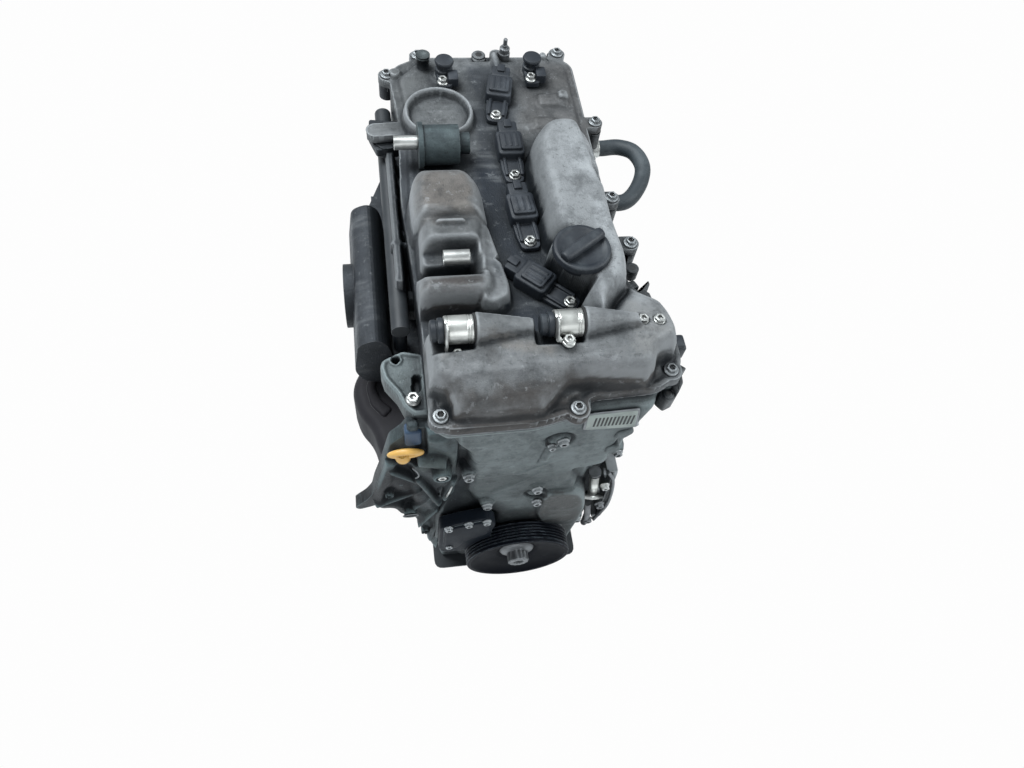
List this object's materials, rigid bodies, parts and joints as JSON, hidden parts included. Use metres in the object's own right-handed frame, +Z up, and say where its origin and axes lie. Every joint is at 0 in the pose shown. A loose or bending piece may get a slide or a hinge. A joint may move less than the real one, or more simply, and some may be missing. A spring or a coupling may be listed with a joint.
{
  "type": "car engine",
  "caption": "Weathered four-cylinder petrol engine with cast cam cover, chain case, crank pulley, valve solenoids, hose and dipstick.",
  "frame": {"origin": "on the crankshaft axis, at the rear face of the crankshaft flange, which is flush with the block's gearbox face", "axes": "+Z up towards the cam cover, +Y along the crankshaft towards the gearbox, +X to the exhaust side"},
  "size_m": [0.3528, 0.519, 0.5585],
  "materials": {
    "cover_casting": "as-cast alloy, weathered and stained",
    "case_casting": "as-cast alloy, oily",
    "head_casting": "as-cast alloy",
    "block_casting": "as-cast alloy with iron liners, grimy",
    "bright_steel": "zinc plated",
    "machined_steel": "machined, oiled",
    "iron": "machined cast iron",
    "black_metal": "black paint, worn to bright on the ribs",
    "dark_shell": "dark grey paint",
    "black_plastic": "moulded",
    "yellow_plastic": "moulded",
    "rubber": "moulded"
  },
  "bodies": {
    "engine": {"cam_cover": "cover_casting", "timing_cover": "case_casting", "lift_actuator": "case_casting", "water_outlet": "case_casting", "front_bracket": "case_casting", "cylinder_head": "head_casting", "camshaft_housing": "head_casting", "intake_manifold": "head_casting", "cylinder_block": "block_casting", "lower_crankcase": "block_casting", "main_bearing_caps": "block_casting", "rear_seal_housing": "block_casting", "pistons": "block_casting", "side_bracket": "bright_steel", "hose_clamps": "bright_steel", "flange_bolts": "bright_steel", "timing_cover_bolts": "bright_steel", "drain_plug": "bright_steel", "hose_nipples": "bright_steel", "oil_control_valves": "bright_steel", "main_cap_bolts": "machined_steel", "head_bolts": "machined_steel", "timing_chain": "machined_steel", "piston_rings": "machined_steel", "wrist_pins": "machined_steel", "intake_valves": "machined_steel", "exhaust_valves": "machined_steel", "valve_springs": "machined_steel", "rocker_arms": "machined_steel", "head_gasket": "machined_steel", "spark_plugs": "machined_steel", "oil_pump": "iron", "oil_pan": "black_metal", "water_pump": "black_metal", "fuel_rail": "black_metal", "dipstick_tube": "black_metal", "side_shield": "dark_shell", "ignition_coils": "black_plastic", "valve_plugs": "black_plastic", "cam_position_sensors": "black_plastic", "injectors": "black_plastic", "chain_guide": "black_plastic", "tensioner_arm": "black_plastic", "chain_tensioner": "black_plastic", "oil_pickup": "black_plastic", "bypass_hose": "rubber", "crank_seals": "rubber", "cam_cover_gasket": "rubber"},
    "crank": {"crankshaft": "iron", "crank_sprocket": "machined_steel", "crank_pulley": "black_metal", "pulley_bolt": "bright_steel"},
    "intake_cam": {"intake_camshaft": "iron", "intake_cam_sprocket": "machined_steel"},
    "exhaust_cam": {"exhaust_camshaft": "iron", "exhaust_cam_sprocket": "machined_steel"},
    "filler_cap": {"oil_filler_cap": "black_plastic"},
    "dipstick": {"dipstick": "yellow_plastic"},
    "pump_rotor": {"pump_rotor": "machined_steel"}
  },
  "joints": [
    {"name": "crank_spin", "type": "hinge", "parent": "engine", "child": "crank", "pos_m": [0, 0, 0], "axis": [0, 1, 0], "continuous": true},
    {"name": "intake_cam_spin", "type": "hinge", "parent": "engine", "child": "intake_cam", "pos_m": [-0.048, 0, 0.318], "axis": [0, 1, 0], "continuous": true},
    {"name": "exhaust_cam_spin", "type": "hinge", "parent": "engine", "child": "exhaust_cam", "pos_m": [0.048, 0, 0.318], "axis": [0, 1, 0], "continuous": true},
    {"name": "pump_spin", "type": "hinge", "parent": "engine", "child": "pump_rotor", "pos_m": [-0.066, 0, 0.056], "axis": [0, 1, 0], "continuous": true},
    {"name": "cap_turn", "type": "hinge", "parent": "engine", "child": "filler_cap", "pos_m": [0.039, -0.352, 0.39], "axis": [0, 0, 1], "range_deg": [0, 90]},
    {"name": "dipstick_slide", "type": "slide", "parent": "engine", "child": "dipstick", "axis": [-0.1084, -0.2674, 0.9575], "range_m": [0, 0.3]}
  ],
  "couplings": [
    {"joint": "intake_cam_spin", "follows": "crank_spin", "ratio": 0.5},
    {"joint": "exhaust_cam_spin", "follows": "crank_spin", "ratio": 0.5}
  ]
}
